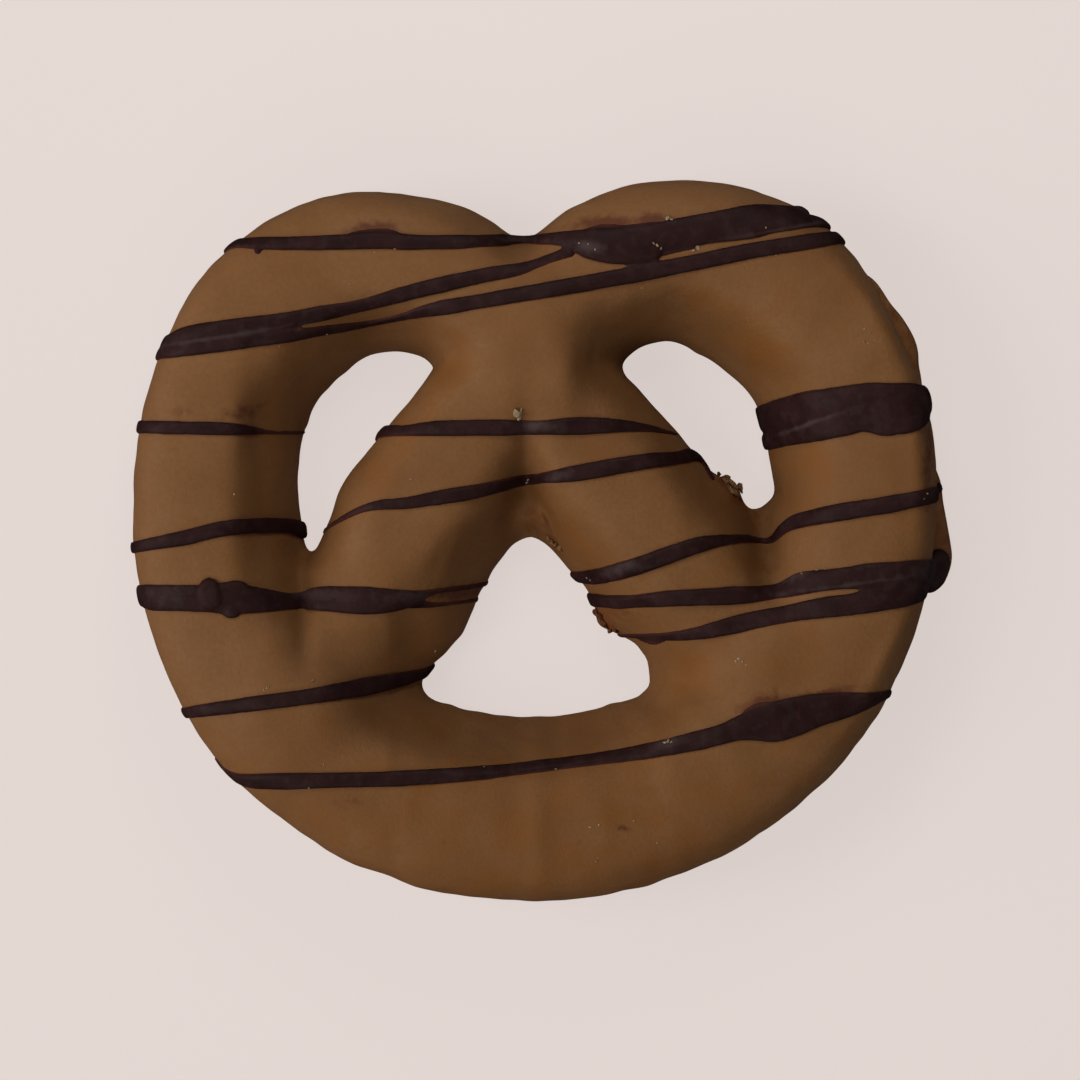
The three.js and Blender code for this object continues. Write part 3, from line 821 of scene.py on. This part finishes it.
def make_foot(plan, material):
    vertices, faces = strip_mesh(Table(), foot_rows(plan), lambda width: FOOT_HEIGHT, FOOT_SEED, sunk=0)
    foot = new_piece("coat_foot", mesh_from("coat_foot", vertices, faces))
    return finish_piece(foot, material)


# ---- the drizzle ----
def fill_gap(surface, a, b):
    """Points on the surface between a and b, so that a steep stretch has as many as a flat one."""
    if (b - a).length <= WIDEST_GAP * MM:
        return []
    middle, _ = surface.nearest((a + b) / 2)
    if (middle - a).length < NARROWEST_GAP * MM or (middle - b).length < NARROWEST_GAP * MM:
        return []
    return fill_gap(surface, a, middle) + [middle] + fill_gap(surface, middle, b)


def run_down(surface, start, heading, length):
    """Follows the surface from start for that length, as a drip does over an edge."""
    points = []
    point = start
    for _ in range(int(length / ROUTE_STEP)):
        ahead, _ = surface.nearest(point + heading * ROUTE_STEP * MM)
        move = ahead - point
        if move.length < RUN_DOWN_SLOWEST * ROUTE_STEP * MM or ahead.z < RUN_DOWN_STOPS * MM:
            break
        heading = move.normalized()
        point = ahead
        points.append(point)
    return points


def route_end(surface, filled, drop):
    """How a line runs on down the surface from the last of its points, in points with the same width."""
    (end, width), (before, _) = filled[-1], filled[-1 - END_ROWS]
    return [(p, width) for p in run_down(surface, end, (end - before).normalized(), drop)]


def laid_route(surface, plan, route, start_drop, end_drop):
    """The route on the surface as rows of x, y, z and width, evenly spaced."""
    rows = []
    for across, up, width in smooth_curve(route):
        hit, _ = surface.seen_at(plan, across, up)
        if hit is not None:
            rows.append((hit, max(width, NARROWEST_LINE)))
    filled = [rows[0]]
    for (a, _), (b, width) in zip(rows, rows[1:]):
        filled += [(p, width) for p in fill_gap(surface, a, b)] + [(b, width)]
    start = route_end(surface, filled[::-1], start_drop)
    whole = start[::-1] + filled + route_end(surface, filled, end_drop)
    return evenly_spaced(np.array([(*p, width * MM) for p, width in whole]))


def line_height(width):
    return min(width * LINE_HEIGHT_SHARE, LINE_HEIGHT_MOST)


def laid_strips(surface, plan):
    """Every line, pool and film as a strip of its own, all in one mesh."""
    strips = [(route, start, end, line_height) for route, start, end in DRIZZLE.values()]
    strips += [(route, 0, 0, lambda width, height=height: height) for route, height in POOLS.values()]
    vertices = []
    faces = []
    for seed, (route, start, end, height_of) in enumerate(strips):
        rows = laid_route(surface, plan, route, start, end)
        strip, sides = strip_mesh(surface, rows, height_of, seed, DRIZZLE_SUNK)
        faces += [tuple(i + len(vertices) for i in face) for face in sides]
        vertices += strip
    return mesh_from("dark_drizzle", vertices, faces)


def melt_together(drizzle):
    """Makes one closed skin of the strips, and softens it."""
    joining = drizzle.modifiers.new("joining", "REMESH")
    joining.mode = "VOXEL"
    joining.voxel_size = REMESH_CELL * MM
    softening = drizzle.modifiers.new("softening", "SMOOTH")
    softening.factor = SOFTENING
    softening.iterations = SOFTENING_STEPS
    apply_modifiers(drizzle)


def add_drizzle_lumps(drizzle):
    places = places_of(drizzle.data)
    normals = normals_of(drizzle.data)
    for index, (size, height) in enumerate(DRIZZLE_LUMPS):
        lumps = noise_at(places, size, DRIZZLE_LUMP_SEED + index)
        places += normals * (height * MM * lumps)[:, None]
    move_vertices(drizzle.data, places)


def thin_out(drizzle):
    """Takes away the faces that the shape can spare."""
    thinning = drizzle.modifiers.new("thinning", "DECIMATE")
    thinning.ratio = DRIZZLE_FACES_KEPT
    apply_modifiers(drizzle)


def make_drizzle(surface, plan, material):
    drizzle = new_piece("dark_drizzle", laid_strips(surface, plan))
    melt_together(drizzle)
    add_drizzle_lumps(drizzle)
    thin_out(drizzle)
    places = places_of(drizzle.data)
    depth = [(Vector(place) - surface.nearest(place)[0]).length / MM for place in places]
    point_value(drizzle.data, "depth", depth)
    # the bloom, with painted highlights along merged lines and on the foot's drop
    point_value(drizzle.data, "bloom_and_highlight", patches_on(drizzle.data, plan, BLOOMS_AND_HIGHLIGHTS))
    return finish_piece(drizzle, material)


# ---- crumbs ----
def crumb_shape(size, seed):
    """A chipped, flattened fleck of that size about the origin, as a bmesh, and how flat it is."""
    bm = bmesh.new()
    bmesh.ops.create_icosphere(bm, subdivisions=CRUMB_SPLITS, radius=size * MM / 2)
    cuts = []
    for _ in range(CRUMB_CUTS):
        facing = Vector([random.gauss(0, 1) for _ in range(3)]).normalized()
        cuts.append((facing, random.uniform(*CRUMB_CUT_DEPTH)))
    for vertex in bm.verts:
        heading = vertex.co.normalized()
        reach = min(depth / max(heading.dot(facing), CRUMB_CUT_DEPTH[0]) for facing, depth in cuts)
        grain = noise.noise(heading * CRUMB_GRAIN + Vector((seed, 0, 0)))
        vertex.co *= min(reach, 1) * (1 + CRUMB_UNEVEN * grain)
    stretch = random.uniform(*CRUMB_STRETCH)
    flatness = random.uniform(*CRUMB_FLATNESS)
    bmesh.ops.scale(bm, verts=bm.verts, vec=(stretch, 1 / stretch, flatness))
    return bm, flatness


def make_crumb(surface, plan, across, up, size, seed):
    """One crumb as a bmesh, tilted and pressed a little into what it lies on."""
    point, normal = surface.seen_at(plan, across, up)
    if point is None:
        point, normal = surface.nearest(plan.at_level(across, up, EDGE_LEVEL))
    crumb, flatness = crumb_shape(size, seed)
    tilt = [random.uniform(-CRUMB_TILT, CRUMB_TILT) for _ in range(2)]
    turn = Euler((*tilt, random.uniform(0, CRUMB_TURN))).to_matrix()
    stand = normal.to_track_quat("Z", "Y").to_matrix() @ turn
    lift = Matrix.Translation(point + normal * size * MM * flatness * CRUMB_LIFT)
    bmesh.ops.transform(crumb, matrix=lift @ stand.to_4x4(), verts=crumb.verts)
    return crumb


def make_crumbs(name, crumbs, surface, plan, material):
    """All the crumbs of one kind as one piece."""
    whole = bmesh.new()
    for index, (across, up, size) in enumerate(crumbs):
        crumb = make_crumb(surface, plan, across, up, size, index * CRUMB_SEED_STEP)
        mesh = bpy.data.meshes.new("crumb")
        crumb.to_mesh(mesh)
        crumb.free()
        whole.from_mesh(mesh)
        bpy.data.meshes.remove(mesh)
    mesh = bpy.data.meshes.new(name)
    whole.to_mesh(mesh)
    whole.free()
    return finish_piece(new_piece(name, mesh), material)


# ---- materials ----
class Nodes:
    """A material's node tree, with short ways to add to it."""

    def __init__(self, name):
        self.material = bpy.data.materials.new(name)
        self.material.use_nodes = True
        self.tree = self.material.node_tree
        self.shader = self.tree.nodes["Principled BSDF"]
        self.where = self.tree.nodes.new("ShaderNodeTexCoord").outputs["Object"]

    def noise(self, size, detail, low=NOISE_LOW, high=NOISE_HIGH):
        """Noise from 0 to 1 whose lumps are size millimetres across."""
        texture = self.tree.nodes.new("ShaderNodeTexNoise")
        texture.inputs["Scale"].default_value = 1 / (size * MM)
        texture.inputs["Detail"].default_value = detail
        self.tree.links.new(self.where, texture.inputs["Vector"])
        return self.spread(texture.outputs["Fac"], low, high, 0, 1)

    def spread(self, value, from_low, from_high, to_low, to_high):
        """The value taken from one range to another, and kept inside it."""
        node = self.tree.nodes.new("ShaderNodeMapRange")
        node.inputs["From Min"].default_value = from_low
        node.inputs["From Max"].default_value = from_high
        node.inputs["To Min"].default_value = to_low
        node.inputs["To Max"].default_value = to_high
        self.tree.links.new(value, node.inputs["Value"])
        return node.outputs["Result"]

    def add(self, a, b):
        """a plus b, kept between 0 and 1."""
        node = self.tree.nodes.new("ShaderNodeMath")
        node.operation = "ADD"
        node.use_clamp = True
        self.tree.links.new(a, node.inputs[0])
        self.tree.links.new(b, node.inputs[1])
        return node.outputs["Value"]

    def attribute(self, name):
        node = self.tree.nodes.new("ShaderNodeAttribute")
        node.attribute_name = name
        return node.outputs["Fac"]

    def mix(self, amount, a, b):
        """Colour a where amount is 0 and b where it is 1. Each is a colour or an output."""
        node = self.tree.nodes.new("ShaderNodeMix")
        node.data_type = "RGBA"
        self.tree.links.new(amount, node.inputs["Factor"])
        for value, slot in ((a, "A"), (b, "B")):
            socket = next(s for s in node.inputs if s.name == slot and s.type == "RGBA")
            if isinstance(value, tuple):
                socket.default_value = (*value, 1)
            else:
                self.tree.links.new(value, socket)
        return next(s for s in node.outputs if s.type == "RGBA")

    def mark(self, below, where, frays, adds, between, most, colour):
        """The colour below, with a mark over it where the other value is high."""
        frayed = self.add(where, self.spread(self.noise(*frays), 0, 1, *adds))
        return self.mix(self.spread(frayed, *between, 0, most), below, colour)

    def bump(self, value, height):
        """Makes the surface look uneven, by height millimetres where value goes from 0 to 1."""
        node = self.tree.nodes.new("ShaderNodeBump")
        node.inputs["Distance"].default_value = height * MM
        self.tree.links.new(value, node.inputs["Height"])
        self.tree.links.new(node.outputs["Normal"], self.shader.inputs["Normal"])

    def set(self, name, value):
        """Gives an input of the shader a number, a colour or an output."""
        socket = self.shader.inputs[name]
        if isinstance(value, (int, float)):
            socket.default_value = value
        elif isinstance(value, tuple):
            socket.default_value = (*value, 1)
        else:
            self.tree.links.new(value, socket)

    def finish(self, colour, roughness, specular):
        """The finished material, of that colour, roughness and shine."""
        self.set("Base Color", colour)
        self.set("Roughness", roughness)
        self.set("Specular IOR Level", specular)
        return self.material


def coat_material():
    nodes = Nodes("milk_coat")
    cloudy = nodes.noise(*COAT_CLOUDS)
    colour = nodes.mix(cloudy, *COAT_COLOURS)
    grain = nodes.spread(nodes.noise(*COAT_GRAIN), 0, 1, 0, COAT_GRAIN_AMOUNT)
    colour = nodes.mix(grain, colour, COAT_GRAIN_COLOUR)
    # the marks: thin coat (partly painted shade), smear and torn coat
    for name, look in COAT_MARKS.items():
        colour = nodes.mark(colour, nodes.attribute(name), *look)
    nodes.bump(nodes.noise(*COAT_PITS), COAT_PIT_DEPTH)
    return nodes.finish(colour, nodes.spread(cloudy, 0, 1, *COAT_ROUGHNESS), COAT_SPECULAR)


def foot_material():
    nodes = Nodes("milk_coat_foot")
    # colours painted lighter to offset the shade on the foot
    colour = nodes.mix(nodes.noise(*FOOT_CLOUDS), *FOOT_COLOURS_WITH_PAINTED_LIGHT)
    nodes.bump(nodes.noise(*FOOT_PITS), FOOT_PIT_DEPTH)
    return nodes.finish(colour, FOOT_ROUGHNESS, FOOT_SPECULAR)


def drizzle_material():
    nodes = Nodes("dark_drizzle")
    cloudy = nodes.noise(*DRIZZLE_CLOUDS)
    colour = nodes.mix(cloudy, *DRIZZLE_COLOURS)
    # grey bloom, and painted highlights along merged lines
    colour = nodes.mark(colour, nodes.attribute("bloom_and_highlight"), *BLOOM_AND_HIGHLIGHT_MARK)
    film = nodes.spread(nodes.attribute("depth"), *FILM_DEPTHS, 1, 0)
    colour = nodes.mark(colour, film, *FILM_MARK)
    nodes.bump(nodes.noise(*DRIZZLE_PITS), DRIZZLE_PIT_DEPTH)
    return nodes.finish(colour, nodes.spread(cloudy, 0, 1, *DRIZZLE_ROUGHNESS), DRIZZLE_SPECULAR)


def crumb_material(name, light, dark):
    nodes = Nodes(name)
    colour = nodes.mix(nodes.noise(*CRUMB_CLOUDS), light, dark)
    nodes.bump(nodes.noise(*CRUMB_PITS), CRUMB_PIT_DEPTH)
    return nodes.finish(colour, CRUMB_ROUGHNESS, CRUMB_SPECULAR)


def floor_material():
    """Part of its colour glows, so that shadows on it stay light."""
    nodes = Nodes("floor")
    nodes.set("Emission Color", FLOOR_COLOUR)
    nodes.set("Emission Strength", FLOOR_GLOW)
    colour = tuple(part * (1 - FLOOR_GLOW) for part in FLOOR_COLOUR)
    return nodes.finish(colour, FLOOR_ROUGHNESS, FLOOR_SPECULAR)


def bounce_material():
    return Nodes("floor_bounce").finish(BOUNCE_COLOUR, BOUNCE_ROUGHNESS, FLOOR_SPECULAR)


# ---- the studio ----
def make_sheet(name, material, height):
    half = FLOOR_SIZE * MM / 2
    corners = [(-half, -half, height), (half, -half, height), (half, half, height), (-half, half, height)]
    sheet = new_piece(name, mesh_from(name, corners, [(0, 1, 2, 3)]))
    sheet.data.materials.append(material)
    return sheet


def make_floor():
    """A pale floor with a light shadow for the camera, and an unseen one that throws light back up."""
    floor = make_sheet("floor", floor_material(), -FLOOR_DROP * MM)
    floor.visible_diffuse = False
    floor.visible_glossy = False
    bounce = make_sheet("floor_bounce", bounce_material(), 0)
    bounce.visible_camera = False
    bounce.visible_glossy = False
    bounce.visible_shadow = False


def make_lamps():
    for name, (turn, rise, distance, size, power) in LAMPS.items():
        turn = math.radians(turn)
        rise = math.radians(rise)
        towards = Vector((math.cos(rise) * math.cos(turn), math.cos(rise) * math.sin(turn), math.sin(rise)))
        light = bpy.data.lights.new(name, "AREA")
        light.size = size * MM
        light.energy = power
        lamp = new_piece(name, light)
        lamp.location = towards * distance * MM
        lamp.rotation_euler = towards.to_track_quat("Z", "Y").to_euler()


def make_sky():
    world = bpy.data.worlds.new("sky")
    world.use_nodes = True
    sky = world.node_tree.nodes["Background"]
    sky.inputs["Color"].default_value = (1, 1, 1, 1)
    sky.inputs["Strength"].default_value = SKY_STRENGTH
    bpy.context.scene.world = world


def make_camera(plan):
    camera = bpy.data.cameras.new("camera")
    camera.lens = LENS
    camera.sensor_width = SENSOR
    stand = new_piece("camera", camera)
    stand.location = plan.eye
    bpy.context.scene.camera = stand


def main():
    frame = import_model()
    plan = Plan(*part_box(NODE))
    random.seed(SEED)
    coat = make_coat(frame, plan, coat_material())
    foot = make_foot(plan, foot_material())
    drizzle = make_drizzle(Surface([coat, foot]), plan, drizzle_material())
    pieces = [coat, foot, drizzle]
    covered = Surface(pieces)
    for kind, (crumbs, light, dark) in CRUMBS.items():
        material = crumb_material(f"{kind}_crumb", light, dark)
        pieces.append(make_crumbs(f"{kind}_crumbs", crumbs, covered, plan, material))
    for piece in pieces:
        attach(piece, "root")
    make_floor()
    make_lamps()
    make_sky()
    make_camera(plan)
    bpy.context.scene.view_settings.view_transform = "Standard"


main()
